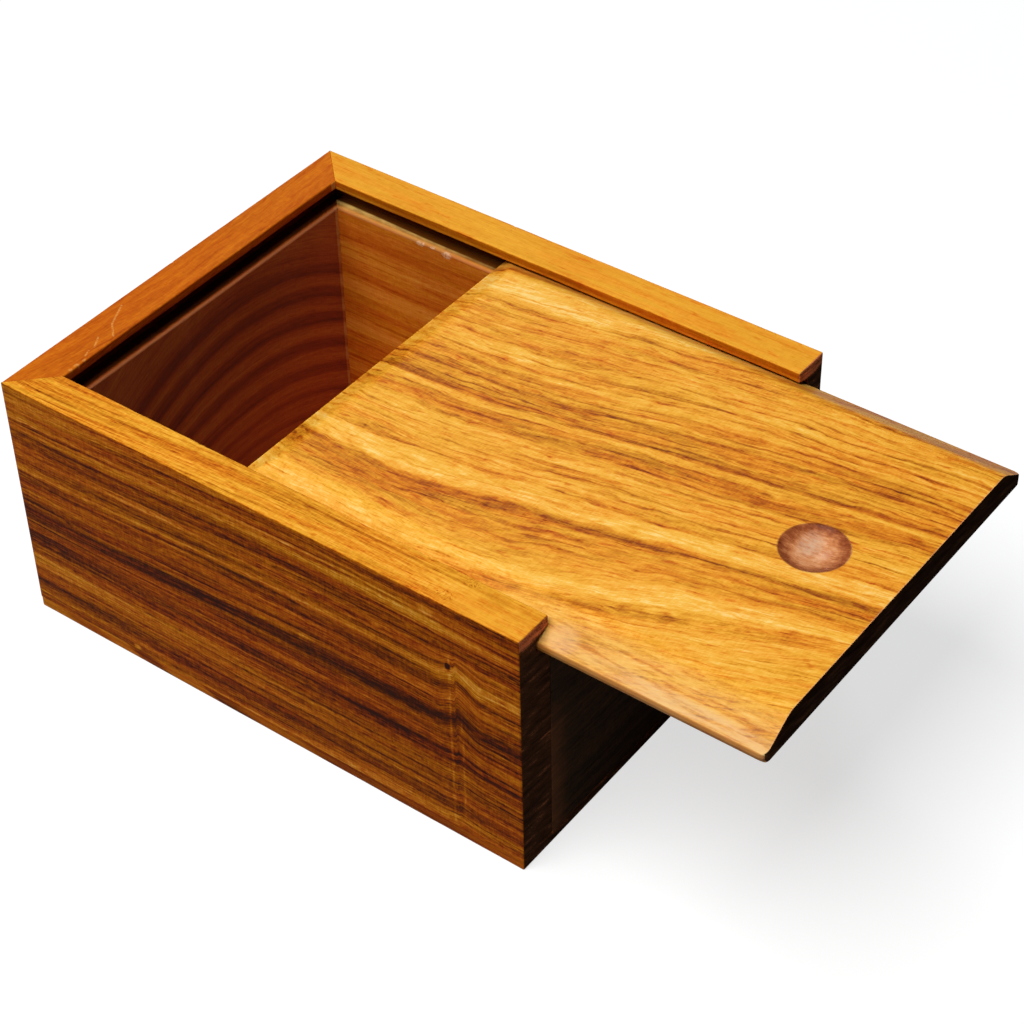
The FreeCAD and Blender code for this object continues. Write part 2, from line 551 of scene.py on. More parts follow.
def twig_scar(x, z):
    frayed = remap(noise(vector(x * 0.8, 0.0, z * 0.35), 2, 0.6), 0.35, 0.65)
    left_edge = remap(abs(x - 56.0), 0.1, 0.6, 0.24, 0) * window(z, 5, 56, 3)
    right_edge = remap(abs(x - 59.1), 0.1, 0.6, 0.20, 0) * window(z, 8, 38, 3)
    core = remap(abs(x - 57.6), 0.3, 1.1, -0.14, 0) * window(z, 8, 34, 4)
    return (left_edge + right_edge + core) * frayed


def near_wall_marks(x, z):
    """Pale flecks, the hole above the scar and a faint pale curve behind it."""
    flecks = spots(x, z, [
        (62.0, 50.5, 9.0, 4.0, 0.05), (55.7, 53.0, 1.0, 1.4, -0.7), (14.0, 39.0, 2.2, 0.8, 0.22),
        (16.0, 24.5, 1.8, 0.7, 0.22), (36.0, 54.5, 2.0, 0.8, 0.24), (46.0, 59.5, 2.4, 0.8, 0.22),
        (50.5, 66.5, 3.2, 1.2, 0.24), (63.0, 36.5, 2.4, 0.9, 0.20), (-42.0, 4.0, 1.6, 0.9, 0.40),
        (-20.0, 45.0, 14.0, 3.0, 0.08), (70.0, 66.0, 9.0, 4.5, -0.06),
    ])
    places = [(57.5, 53.0), (64.0, 48.5), (74.0, 45.8)]
    curve = sum(scratch(x, z, start, end, 1.1) for start, end in zip(places, places[1:]))
    return flecks + curve * 0.07


def near_wall_figure(x, y, z, bent):
    climb = remap(x, -75, 25, -3.4, 0.6) * remap(z, 24, 34)
    across = bent(x, z - climb - lifted_by_twig(x, z) + from_near(x, y) * 0.9, y)
    tone = bands(across, {
        0: 0.36, 3: 0.56, 7: 0.56, 8.5: 0.28, 10.5: 0.34, 11.5: 0.52, 14.5: 0.58, 18: 0.58,
        19.5: 0.44, 21.5: 0.40, 22.5: 0.24, 26: 0.24, 27.5: 0.50, 29.2: 0.48, 31.5: 0.38, 33.5: 0.32,
        34.5: 0.18, 36.6: 0.20, 38.2: 0.36, 41: 0.40, 42.2: 0.58, 43.5: 0.50, 45.5: 0.38,
        48.6: 0.62, 50.4: 0.60, 51.2: 0.44, 54: 0.50, 58: 0.42, 61.5: 0.56, 65: 0.64, 68.5: 0.46, 80: 0.5,
    })
    marks = streaks(across, [
        (13.0, 0.5, 0.22), (30.6, 0.45, 0.20), (48.0, 0.5, 0.26), (52.0, 0.3, 0.12), (56.2, 0.5, 0.16),
        (60.2, 0.5, 0.20), (64.0, 0.6, 0.26), (40.2, 0.35, 0.14), (16.6, 0.3, 0.12), (5.2, 0.3, 0.12),
    ])
    on_side = remap(y, -59.5, -58.5, 1, 0)
    return x, across, y, tone + (twig_scar(x, z) + near_wall_marks(x, z)) * on_side, marks


def near_paint(tone, warmth, x, y, z):
    """The wall paint, with a plainer patch and curled flecks on the lip near its front."""
    on_top = on_lip_top(z)
    calm = on_top * remap(x, 48, 62, 0, 0.50)
    mottled = noise(vector(x * 0.25, y * 0.35, 9.0), 3, 0.6)
    tone = tone + (0.34 + mottled * 0.6 - tone) * calm
    tone = tone + spots(x, y, [(52.0, -54.0, 6.0, 2.2, 0.18), (64.0, -53.0, 5.0, 3.0, -0.10)]) * on_top
    curls = noise(vector(x * 0.8, y * 0.8, 5.0), 2, 0.6, 2.5)
    curled = spots(x, y, [(56.5, -51.0, 3.4, 1.7, 1.2), (53.5, -57.2, 3.6, 1.8, 1.2)])
    tone = tone - remap(curls, 0.48, 0.60, 0, 0.30) * curled * on_top
    return wall_paint(from_near)(tone, warmth, x, y, z)


near_wood = wood("near_wall_wood", near_wall_figure, near_paint, seed=3, work=1.35, sway=0.45, length=2.0)

# %% [markdown]
# ## The far wall
#
# This is the calmest board, with straight orange-brown streaks, and redder inside.  Its ledge is
# the part of the groove that shows: a wide pale strip of bare wood, chipped in two places, and
# painted paler than its light makes it, partly a painted highlight.  The chips are spots whose
# rims a noise makes ragged.

# %% The far wall's wood
def far_wall_figure(x, y, z, bent):
    across = bent(x, z + from_far(x, y) * 0.8, y)
    tone = bands(across, {
        0: 0.45, 10: 0.52, 16: 0.38, 22: 0.56, 30: 0.40, 36: 0.58, 42: 0.44, 46: 0.50, 48: 0.58,
        51: 0.56, 53: 0.34, 55: 0.48, 60: 0.52, 64: 0.40, 70: 0.50, 80: 0.54,
    })
    return x, across, y, tone, streaks(across, [(25, 0.6, 0.18), (39, 0.5, 0.16), (57.5, 0.5, 0.14)])


def ledge_strip_paint(colour, deep, x, y, z):
    # The strip is bare wood, painted paler than the lip's shade lets it be lit: a painted highlight.
    edge = remap(x, -64, -30, 7.8, 8.6)
    strip = remap(deep, edge, edge + 0.6) * window(z, 62.85, 63.6, 0.2)
    patchy = remap(noise(vector(x * 0.3, y * 0.6, 3.0), 2), 0.35, 0.65, 0.6, 1.0)
    strip = strip * patchy * remap(x, -34, -18, 0.85, 0.35)
    bare_and_lit = blend(remap(deep, 8.6, 9.8), srgb(252, 204, 112), srgb(214, 152, 76))
    bare_and_lit = blend(remap(deep, 10.5, 10.8), bare_and_lit, srgb(186, 120, 58))
    return blend(strip, colour, bare_and_lit)


def far_paint(tone, warmth, x, y, z):
    """The wall paint, redder inside, with a wide pale, chipped ledge, partly a painted highlight."""
    deep = from_far(x, y)
    inner_face = remap(y, 49.6, 49.2) * remap(z, 66, 62)
    lip_foot = window(z, 67.4, 69.0, 0.6) * remap(deep, 9.8, 10.2)
    walls = wall_paint(from_far, top_lift=0.04, lip_lift=0.0)
    colour = walls(tone + lip_foot * 0.16, warmth + inner_face * 0.60, x, y, z)
    colour = ledge_strip_paint(colour, deep, x, y, z)
    chips = spots(x, z, [
        (-36.8, 62.9, 1.5, 1.0, 1.2), (-28.5, 62.6, 1.8, 1.2, 1.4), (-33.0, 63.1, 1.0, 0.4, 0.8),
    ])
    ragged = remap(noise(vector(x * 1.3, z * 1.6, 4.0), 2, 0.7), 0.40, 0.58)
    chips = minimum(chips * ragged * remap(deep, 10.0, 10.8), 0.55)
    return blend(chips, colour, srgb(236, 198, 160))


far_wood = wood("far_wall_wood", far_wall_figure, far_paint, seed=37, work=0.50, sway=0.5, length=1.6)

# %% [markdown]
# ## The closed end wall
#
# This board was sawn near the heart of the tree, so its growth layers show as wide arches: bands
# whose height grows with the square of the distance from their middle.  It is dark mahogany brown
# and dull inside and browner outside, and a few pale scratches cross its lip.

# %% The closed end wall's wood
def closed_wall_figure(x, y, z, bent):
    off_middle = y - 9
    arch = off_middle * off_middle * remap(z, 63, 67, 0.0078, 0.0010)
    across = bent(y, z + arch + (x + 64) * 0.6, x)
    tone = bands(across, {
        0: 0.36, 8: 0.36, 9.5: 0.26, 11: 0.36, 15: 0.38, 16.5: 0.24, 18: 0.36, 22: 0.38, 23.5: 0.25,
        25.5: 0.27, 27: 0.40, 30: 0.37, 31.5: 0.22, 33.5: 0.26, 35: 0.40, 38: 0.37, 39.5: 0.21,
        42: 0.23, 43.5: 0.39, 46: 0.36, 47.5: 0.21, 50: 0.24, 51.5: 0.38, 54: 0.35, 55.5: 0.20,
        58: 0.23, 60: 0.32, 66: 0.38, 90: 0.36,
    })
    stronger = 0.31 + (tone - 0.31) * 1.7
    at_corner = remap(y, 47.7, 48.2, 0.0, 0.34) * window(x, -64.6, -63.0, 0.3)
    return y, across, x, stronger + at_corner, 0.0


SCRATCHES = [
    ((-72.6, -21.6), (-69.4, -28.3)), ((-69.4, -28.3), (-65.8, -31.7)),
    ((-68.4, -34.1), (-66.5, -37.4)), ((-66.6, -39.3), (-65.9, -41.2)),
]


def closed_paint(tone, warmth, x, y, z):
    """The wall paint, reddish, browner outside, duller inside, scratched on top."""
    walls = wall_paint(
        from_closed, RUSSET, RUSSET, top_lift=-0.115, top_red=0.85, inside_lift=0.21, lip_lift=0.20
    )
    colour = walls(tone, warmth, x, y, z)
    outside = remap(x, -74.8, -74.4, 1, 0) * (1.0 - facing_up(z.tree))
    colour = blend(outside, colour, ramp(0.36 + (tone - 0.31) * 0.6, BROWN))
    dull = remap(x, -65.6, -64.4) * remap(z, 64, 62.6) * 0.28
    colour = blend(dull, colour, srgb(120, 100, 90))
    marks = sum(scratch(x, y, start, end, 0.36) for start, end in SCRATCHES)
    chips = spots(x, y, [
        (-65.0, -45.0, 0.7, 1.0, 1.0), (-65.0, -47.2, 0.6, 0.8, 1.0), (-65.0, -42.6, 0.5, 0.7, 1.0),
    ])
    worn = remap(noise(vector(x * 1.6, y * 1.6, 7.0), 2), 0.35, 0.60, 0.1, 1.0)
    pale = (marks + chips) * worn * remap(z, 69.5, 70.5, 0, 0.42)
    return blend(minimum(pale, 0.6), colour, srgb(246, 182, 96))


closed_wood = wood(
    "closed_end_wood", closed_wall_figure, closed_paint, seed=23, work=0.48, sway=0.9, length=1.6
)

# %% [markdown]
# ## The front wall and the bottom
#
# Both are plainer boards.  The front wall's outer face is painted nearly black, a painted shadow
# of the overhanging lid that is a little lighter low down near the seam, and its inner face is as
# brown as the other walls.  The thin bottom shows slanted bands on its edges, where its layers
# come to the surface, and calm lengthwise ones inside the box.

# %% The front wall's and the bottom's wood
def front_wall_figure(x, y, z, bent):
    across = bent(y, z + y * 0.05 + x * 0.7, x)
    # Painted shadow: the outer face is dark, a little lighter low down near the seam.
    seam_side = remap(y, -41, -49, 0, 0.24) * remap(z, 50, 30)
    return y, across, x, 0.26 + seam_side, 0.0


# The outer face gets the lid's painted shadow, the inner face plain brown.
def lid_shadow_paint(tone, warmth, x, y, z):
    inner = brown_paint(tone + 0.22, warmth, x, y, z)
    return blend(remap(x, 73.6, 74.6), inner, ramp(tone, LID_SHADOW))


def bottom_figure(x, y, z, bent):
    across = bent(x, y + z * 3.0, z)
    edges = bands(x + z * 2.2, {
        -75: 0.60, -65: 0.58, -60: 0.40, -51: 0.40, -48: 0.58, -41: 0.56, -38: 0.22, -32: 0.24,
        -29: 0.52, -16: 0.56, -14: 0.24, -8: 0.22, 0: 0.42, 14: 0.40, 18: 0.24, 58: 0.26, 70: 0.40,
        82: 0.40,
    })
    middle = bands(across, {
        -60: 0.40, -44: 0.46, -38: 0.34, -20: 0.42, -9: 0.30, 4: 0.42, 22: 0.36, 40: 0.46, 70: 0.38,
    })
    inside = remap(abs(y), 58.5, 59.5, 1, 0)
    return x, across, z, edges + (middle - edges) * inside + 0.10, 0.0


front_wood = wood("front_wall_wood", front_wall_figure, lid_shadow_paint, seed=41, work=0.5, gloss=0.0)
bottom_wood = wood("bottom_board_wood", bottom_figure, brown_paint, seed=53, work=0.8)

# %% [markdown]
# ## The lid's figure
#
# The lid is golden, with brown streaks that run straight at the inner end, bend towards the far
# side on their way to the front, and level out again in the far corner.  The bend is a hyperbola,
# the natural curve between two straight runs.  It is taken away from the measure across the
# grain, so bands and streaks written as straight all follow it.

# %% The lid's figure
LID_TOP = 71.2


def lid_bend(x, y):
    edge_side = remap(y - x * 0.15, -54, -25)
    u = x - (58.0 - edge_side * 44.0)
    softness = 250.0 + edge_side * 250.0
    steepness = 0.35 - edge_side * 0.15
    bend = steepness * 0.5 * (u + root(u * u + softness))
    levelled = remap(x, -25, 95, 0, 15) + remap(x, 60, 145, 0, 6)
    return bend + remap(y, 13, 30) * (levelled - bend)


def lid_marks(x, y, across):
    """Specks, a long dark band near the front, curly grain, and crowded layers."""
    patches = spots(x, y, [
        (18.5, 17.0, 4.5, 1.3, 0.16), (13.0, -30.0, 4.0, 1.6, 0.16), (93.5, 10.0, 3.0, 1.2, 0.16),
        (92.5, -10.0, 4.0, 1.4, 0.16), (14.0, 37.0, 26.0, 4.0, 0.12), (62.0, -18.0, 11.0, 4.0, -0.05),
        (96.0, -30.0, 40.0, 20.0, 0.08),
    ])
    curly = noise(vector(x * 0.17, across * 0.60, 21.0), 3, 0.65)
    front_band = scratch(x, y, (78.0, -43.5), (126.0, -23.5), 3.0) * remap(curly, 0.3, 0.6, -0.22, -0.10)
    layers = noise(vector(x * 0.012, across * 0.55, 8.0), 1, 0.5)
    far_corner = remap(x, 78, 92) * remap(y, 20, 27)
    crowded = remap(layers, 0.50, 0.62, 0.0, -0.17) * far_corner
    return patches + (curly - 0.5) * 0.50 + front_band + 0.01 + crowded


def lid_figure(x, y, z, bent):
    across = bent(x, y - lid_bend(x, y) - (LID_TOP - z) * 0.85, z)
    tone = bands(across, {
        -62: 0.66, -50: 0.66, -47: 0.78, -44.6: 0.74, -42.5: 0.56, -38: 0.50, -35.6: 0.44,
        -32.6: 0.42, -31: 0.76, -27.5: 0.78, -25.2: 0.56, -23: 0.68, -13: 0.66, -10.4: 0.48, -7: 0.46,
        -5.6: 0.70, -4.2: 0.64, -2.8: 0.44, 0: 0.50, 3.2: 0.52, 6: 0.58, 8.6: 0.52, 11: 0.70,
        18: 0.66, 29: 0.64, 31: 0.54, 34: 0.84, 39: 0.82, 42: 0.52, 46: 0.42, 58: 0.40,
    })
    marks = streaks(across, [
        (-50.3, 2.6, 0.08), (-40.2, 0.4, 0.12), (-37.0, 0.5, 0.12), (-33.6, 0.9, 0.14),
        (-29.2, 0.35, 0.12), (-25.6, 0.5, 0.14), (-22.4, 0.4, 0.15), (-19.8, 0.4, 0.20),
        (-17.2, 0.3, 0.14), (-14.6, 0.4, 0.16), (-11.4, 0.6, 0.18), (-8.4, 0.4, 0.12),
        (-6.4, 0.3, 0.14), (-3.2, 0.9, 0.18), (-1.2, 0.35, 0.16), (0.8, 0.3, 0.14), (3.8, 0.5, 0.22),
        (6.2, 0.35, 0.16), (8.4, 0.7, 0.10), (11.6, 0.4, 0.18), (14.2, 0.5, 0.22), (17.4, 0.4, 0.18),
        (19.6, 0.3, 0.14), (23, 0.4, 0.14), (26.4, 0.4, 0.14), (30.5, 0.4, 0.12), (42.5, 0.5, 0.14),
    ])
    return x, across, z, tone + lid_marks(x, y, across), marks


print("the lid's figure is ready")

# %% [markdown]
# ## The finger dish
#
# The dish cuts down into redder layers, and fingertips have polished it, so it is glossier than
# the lid round it.  Its colour is the lid's own tone with a mottle and fine strokes added, with a
# painted highlight and a pale grey painted reflection near its middle, and painted shade darker
# towards the rim.

# %% The finger dish's colour
DISH_X, DISH_RADIUS = 109.2, 7.8


def from_dish(x, y):
    """Distance from the middle of the finger dish."""
    u = x - DISH_X
    return root(u * u + y * y)


def in_dish(x, y, z):
    return remap(from_dish(x, y), DISH_RADIUS - 0.1, DISH_RADIUS + 0.45, 1, 0) * remap(z, 66, 67)


def dish_colour(tone, x, y):
    mottle = noise(vector(x * 0.40, y * 0.50, 2.0), 3, 0.65)
    strokes = noise(vector(x * 0.6, y * 3.2, 9.0), 2, 0.6)
    # A painted highlight near the middle.
    wear_and_highlight = spot(x, y, 108.6, 0.4, 5.0, 7.5) * 0.20
    # Painted shade, darker towards the rim.
    rim = remap(from_dish(x, y), DISH_RADIUS - 3.5, DISH_RADIUS, 0, 0.34)
    tone = 0.62 + (tone - 0.6) * 0.30 + (mottle - 0.5) * 0.9 + (strokes - 0.5) * 0.5 + wear_and_highlight - rim
    # A blue-grey painted reflection of the cool light.
    glint = spot(x, y, 107.2, 1.8, 3.4, 4.6) * remap(strokes, 0.35, 0.65, 0.25, 1.0)
    return blend(glint * 0.60, ramp(tone, DISH_BROWN), srgb(196, 168, 146))


print("dish radius", DISH_RADIUS, "mm, middle at", DISH_X, "mm")

# %% [markdown]
# ## The lid's paint
#
# The flat field is golden.  The bevels are cut across the layers, and the near one is dashed.
# It is also painted paler, with a painted sheen on its lower part and a painted highlight by the
# front corner, and the far one is painted browner, a painted shade.  The thin edge of the tongue
# shows a dark middle line, and so do the rounded front corners, and the front arris has a painted
# highlight.

# %% The lid's wood
def near_bevel(x, y):
    return remap(y, -49.0, -43.5, 1, 0) * remap(x, 50, 85)


def bevel_dashes(x, y):
    return noise(vector(x * 0.09, y * 0.9, 6.0), 3, 0.6)


def bevel_paint(colour, x, y):
    far_bevel = remap(y, 45.0, 47.5)
    dashes = bevel_dashes(x, y)
    # The far bevel is painted browner: painted shade.
    colour = blend(far_bevel * 0.35, colour, srgb(150, 100, 52))
    # The near bevel is painted paler: painted light.
    colour = blend(near_bevel(x, y) * remap(dashes, 0.35, 0.65, 0.18, 0.45), colour, srgb(240, 194, 116))
    # A painted sheen along the near bevel's lower part, and a painted highlight by the front corner.
    painted_sheen = window(y, -52.8, -51.2, 1.4) * remap(x, 84, 98, 0.25, 1) * remap(dashes, 0.35, 0.6, 0.35, 1.0)
    painted_sheen = painted_sheen + spot(x, y, 79.5, -50.6, 5.0, 3.4) * 0.7
    return blend(minimum(painted_sheen * 0.50, 0.55), colour, srgb(238, 196, 146))


def edge_paint(colour, x, y, z):
    """Lay the tongue's edge, the front corners and a painted highlight on the front arris over a colour.
    """
    from_middle = abs(y)
    corner = remap(x, 129.0, 129.4) * remap(from_middle, 51.5, 51.8) * remap(z, 65.5, 65.2)
    edge = maximum(remap(from_middle, 53.15, 53.3), corner)
    middle_line = window(z, 63.9, 64.4, 0.3) * 0.90
    colour = blend(edge * 0.75, colour, blend(middle_line, srgb(208, 130, 60), srgb(108, 42, 14)))
    # A painted highlight along the front arris.
    front_arris_highlight = remap(x, 130.6, 130.8) * remap(z, 65.4, 66.0) * 0.45
    return blend(front_arris_highlight, colour, srgb(232, 168, 120))


def lid_paint(tone, warmth, x, y, z):
    tone = tone + near_bevel(x, y) * remap(bevel_dashes(x, y), 0.35, 0.65, -0.22, 0.12)
    colour = bevel_paint(two_rows(tone, warmth, GOLDEN, REDDISH), x, y)
    colour = edge_paint(colour, x, y, z)
    return blend(in_dish(x, y, z), colour, dish_colour(tone, x, y))


lid_wood = wood("golden_lid_wood", lid_figure, lid_paint, seed=11, work=0.95, gloss=0.07, polish=in_dish)

# %% [markdown]
# ## Shapes by Geometry Nodes
#
# The boards and the lid follow rules, so Geometry Nodes make them: a small program for a shape,
# with its sizes as named inputs.  The modifier runs once, its result is kept as a plain mesh, and
# the modifier is taken off again.  The finished piece is ordinary faces that any program can use.

# %% Helpers for Geometry Nodes
def geometry_tree(name, numbers, **others):
    """A tree that makes geometry, with one named input for each size."""
    sizes = {"Geometry": "Geometry", **dict.fromkeys(numbers, "Float"), **others, "Material": "Material"}
    return new_tree(name, "GeometryNodeTree", sizes, {"Geometry": "Geometry"})


def capture(geometry, value, kind="VECTOR"):
    """Note a value on every point, for use after the shape has changed."""
    made = add_node(geometry.tree, "GeometryNodeCaptureAttribute", domain="POINT")
    made.capture_items.new(kind, "value")
    feed(made, (geometry, value))
    return Value(made, 0), Value(made, 1)


def stored_value(tree, name, kind):
    return Value(add_node(tree, "GeometryNodeInputNamedAttribute", {"Name": name}, data_type=kind))


def scaled(place, amount):
    return result("ShaderNodeVectorMath", {0: place, "Scale": amount}, operation="SCALE")


def joined(*places):
    total = places[0]
    for place in places[1:]:
        total = result("ShaderNodeVectorMath", (total, place), operation="ADD")
    return total


def set_position(geometry, position, selection=True):
    inputs = {"Geometry": geometry, "Selection": selection, "Position": position}
    return result("GeometryNodeSetPosition", inputs)


def close_tree(geometry, material):
    realized = result("GeometryNodeRealizeInstances", [geometry])
    painted = result("GeometryNodeSetMaterial", {"Geometry": realized, "Material": material})
    add_node(painted.tree, "NodeGroupOutput", [painted])
    print(f"{painted.tree.name}: {len(painted.tree.nodes)} nodes")
    return painted.tree


print("geometry helpers ready")

# %% [markdown]
# ## From a tree to a finished piece
#
# Grow runs a tree and keeps its mesh.  It merges points that lie on each other and counts the
# open edges: a piece of wood is closed all round, so there should be none.  Every edge of a sanded
# board is in truth a narrow round, which catches a line of light, so a Bevel modifier eases it.

# %% Helpers for finished pieces
def keep_mesh(piece, tree, values):
    modifier = piece.modifiers.new("make", "NODES")
    modifier.node_group = tree
    inputs = [item for item in tree.interface.items_tree if item.in_out == "INPUT"]
    identifiers = {item.name: item.identifier for item in inputs}
    for label, value in values.items():
        modifier[identifiers[label]] = value
    evaluated = piece.evaluated_get(bpy.context.evaluated_depsgraph_get())
    made = bpy.data.meshes.new_from_object(evaluated)
    piece.modifiers.remove(modifier)
    piece.data = made


def grow(name, start_mesh, tree, values):
    piece = bpy.data.objects.new(name, start_mesh)
    bpy.context.scene.collection.objects.link(piece)
    keep_mesh(piece, tree, values)
    made = piece.data
    kept = [material for material in made.materials if material]
    made.materials.clear()
    made.materials.append(kept[0])
    made.polygons.foreach_set("material_index", [0] * len(made.polygons))
    bm = bmesh.new()
    bm.from_mesh(made)
    bmesh.ops.remove_doubles(bm, verts=bm.verts, dist=0.0005 * MM)
    bmesh.ops.recalc_face_normals(bm, faces=bm.faces)
    open_edges = sum(1 for edge in bm.edges if not edge.is_manifold)
    bm.to_mesh(made)
    bm.free()
    print(f"{name}: {len(made.vertices)} vertices, {len(made.polygons)} faces, {open_edges} open edges")
    return piece


def show_end_grain(piece, material):
    """Give the faces that look along X, where fibres are cut, their own material."""
    piece.data.materials.append(material)
    ends = [face for face in piece.data.polygons if abs(face.normal.x) > 0.75]
    for face in ends:
        face.material_index = 1
    print(f"{piece.name}: {len(ends)} faces of end grain")


def ease_arrises(piece, width, limit, angle=math.radians(25)):
    """Round a board's sharp edges a little, as sandpaper does."""
    piece.data.shade_smooth()
    piece.data.set_sharp_from_angle(angle=angle)
    bevel = piece.modifiers.new("eased arrises", "BEVEL")
    bevel.width = width
    bevel.segments = 3
    bevel.limit_method = limit
    bevel.angle_limit = angle
    bevel.use_clamp_overlap = False
    bevel.harden_normals = True


print("piece helpers ready")

# %% [markdown]
# ## The section of a board
#
# Each wall has the same section from end to end: a plain board with a groove near its top and a lip
# above the groove.  The CAD model already holds that outline, so a copy of the node is cut across
# its middle, and the cut is a ring of points.  Two guard points beside each corner let wear move
# the corner without bending the wide faces next to it.  Each point also carries whether it is an
# outward corner, and which way the wood is.

# %% Read the section of a board
GUARD = 0.9 * MM
GLUE_LINE = 3.0 * MM


def neighbours(ring):
    return zip(ring[-1:] + ring, ring, ring[1:] + ring[:1])


def cut_outline(node_name, along):
    """The ring of corners where a plane across the middle of a node cuts it."""
    bm = bmesh.new()
    bm.from_mesh(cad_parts[node_name].data)
    bmesh.ops.remove_doubles(bm, verts=bm.verts, dist=0.001 * MM)
    low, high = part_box(node_name)
    everything = bm.verts[:] + bm.edges[:] + bm.faces[:]
    bmesh.ops.bisect_plane(
        bm, geom=everything, plane_co=(low + high) / 2, plane_no=along, clear_inner=True, clear_outer=True
    )
    first = bm.verts[:][0]
    ring, edge = [first], first.link_edges[0]
    while edge.other_vert(ring[-1]) is not first:
        ring.append(edge.other_vert(ring[-1]))
        edge = next(other for other in ring[-1].link_edges if other is not edge)
    places = [vertex.co.copy() for vertex in ring]
    bm.free()
    turns = []
    for before, here, after in neighbours(places):
        if (here - before).normalized().cross((after - here).normalized()).length > 0.01:
            turns.append(here)
    return turns


def guarded(corners):
    """Corners and guard points: (place, is an outward corner, way the wood is)."""
    points = []
    nowhere = Vector((0, 0, 0))
    for before, here, after in neighbours(corners):
        arriving = (here - before).normalized()
        leaving = (after - here).normalized()
        outward_corner = arriving.x * leaving.y - arriving.y * leaving.x > 0
        glued = abs(here.y - GLUE_LINE) < 0.01 * MM
        wood_side = (leaving - arriving).normalized() if outward_corner and not glued else nowhere
        if (here - before).length > 2.2 * GUARD:
            points.append((here - arriving * GUARD, 0.0, nowhere))
        points.append((here, 1.0 if outward_corner else 0.0, wood_side))
        if (after - here).length > 2.2 * GUARD:
            points.append((here + leaving * GUARD, 0.0, nowhere))
    return points


def section_mesh(node_name, along, inward):
    """The outline as a flat ring: x is the distance in from the outer face."""
    low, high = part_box(node_name)
    outer = min(low.dot(inward), high.dot(inward))
    corners = [Vector((place.dot(inward) - outer, place.z, 0)) for place in cut_outline(node_name, along)]
    area = sum(a.x * b.y - b.x * a.y for a, b in zip(corners, corners[1:] + corners[:1]))
    if area < 0:
        corners.reverse()
    points = guarded(corners)
    mesh = bpy.data.meshes.new(node_name + "_section")
    ring = [(i, (i + 1) % len(points)) for i in range(len(points))]
    mesh.from_pydata([place for place, corner, side in points], ring, [])
    corner_values = mesh.attributes.new("corner", "FLOAT", "POINT")
    corner_values.data.foreach_set("value", [corner for place, corner, side in points])
    wood_values = mesh.attributes.new("wood", "FLOAT_VECTOR", "POINT")
    wood_values.data.foreach_set("vector", [v for place, corner, side in points for v in side])
    print(f"{node_name}: section of {len(corners)} corners")
    return mesh


print("guard points stand", round(GUARD / MM, 2), "mm from each corner")

# %% [markdown]
# ## A tree that sweeps a section along a board
#
# Curve to Mesh draws the section along a straight path.  A mitred end isn't square, though, so
# every point is then put in place by rule: its distance along the board, plus a share of its own
# distance in from the outer face.  That slants the ends by exactly 45 degrees.
#
# The tree also wears the board.  Slow noise rubs the arrises down by up to a tenth of a
# millimetre, and sparse fast noise nicks them.  Last, it writes how much each edge is to be
# rounded: fully on a free arris, and hardly at all on a glued joint.

# %% The board tree
def swept_section(size):
    """The section drawn along a path, with each point's section place and share of the way."""
    tree = size["Geometry"].tree
    outline, section = capture(size["Geometry"], Value(tree.nodes.new("GeometryNodeInputPosition")))
    profile = result("GeometryNodeMeshToCurve", {"Mesh": outline})
    line = Value(add_node(tree, "GeometryNodeCurvePrimitiveLine", {"End": (1.0, 0.0, 0.0)}))
    stations = result("GeometryNodeResampleCurve", {"Curve": line, "Count": size["Stations"]})
    factor = Value(tree.nodes.new("GeometryNodeSplineParameter"), "Factor")
    path, share = capture(stations, factor, "FLOAT")
    sweep = result("GeometryNodeCurveToMesh", {"Curve": path, "Profile Curve": profile, "Fill Caps": True})
    return sweep, section, share


def worn_depth(size, inward, height, along):
    """How deep an arris is rubbed and nicked: less near the outer face, and not at the ends."""

    def wear_noise(spread, pace):
        return noise(vector(inward * spread, height * spread, size["Seed"] + along * pace))

    wear_and_highlight = remap(wear_noise(900.0, 70.0), 0.35, 0.75) * (0.14 * MM)
    nicked = remap(wear_noise(700.0, 800.0), 0.66, 0.80) * (0.40 * MM)
    to_end = minimum(along, size["Length"] - along)
    handled = remap(inward, 1.0 * MM, 6.0 * MM, 0.35, 1.0)
    return (wear_and_highlight + nicked) * size["Wear"] * handled * remap(to_end, 0.5 * MM, 5 * MM)


def rounding_share(size, share, height):
    """The share of the full rounding: 1 on a free arris, 0.2 on a glued one."""
    on_arris = math_node("GREATER_THAN", stored_value(share.tree, "corner", "FLOAT"), 0.9)
    at_start = math_node("LESS_THAN", share, 0.0005)
    at_end = math_node("GREATER_THAN", share, 0.9995)
    free = maximum(on_arris, maximum(at_start, at_end))
    glued = math_node("COMPARE", height, size["Glue Height"], 0.01 * MM)
    end_joints = at_start * size["Joint Start"] + at_end * size["Joint End"]
    return free * (1.0 - maximum(glued, end_joints) * 0.8)


def make_board_tree():
    numbers = (
        "Length", "Mitre Start", "Mitre End", "Joint Start", "Joint End", "Glue Height", "Wear", "Seed",
    )
    places = dict.fromkeys(("Start", "Along", "Inward"), "Vector")
    tree, size = geometry_tree("board", numbers, Stations="Int", **places)
    sweep, section, share = swept_section(size)
    inward, height, _ = split(section)
    slant = size["Mitre Start"] * (1.0 - share) - size["Mitre End"] * share
    along = share * size["Length"] + inward * slant
    depth = worn_depth(size, inward, height, along)
    moved_in, moved_up, _ = split(scaled(stored_value(tree, "wood", "FLOAT_VECTOR"), depth))
    place = joined(
        size["Start"],
        scaled(size["Along"], along),
        scaled(size["Inward"], inward + moved_in),
        vector(0.0, 0.0, height + moved_up),
    )
    board = set_position(sweep, place)
    weighted = result("GeometryNodeStoreNamedAttribute", {
        "Geometry": board, "Name": "bevel_weight_edge", "Value": rounding_share(size, share, height),
    }, data_type="FLOAT", domain="EDGE")
    return close_tree(weighted, size["Material"])


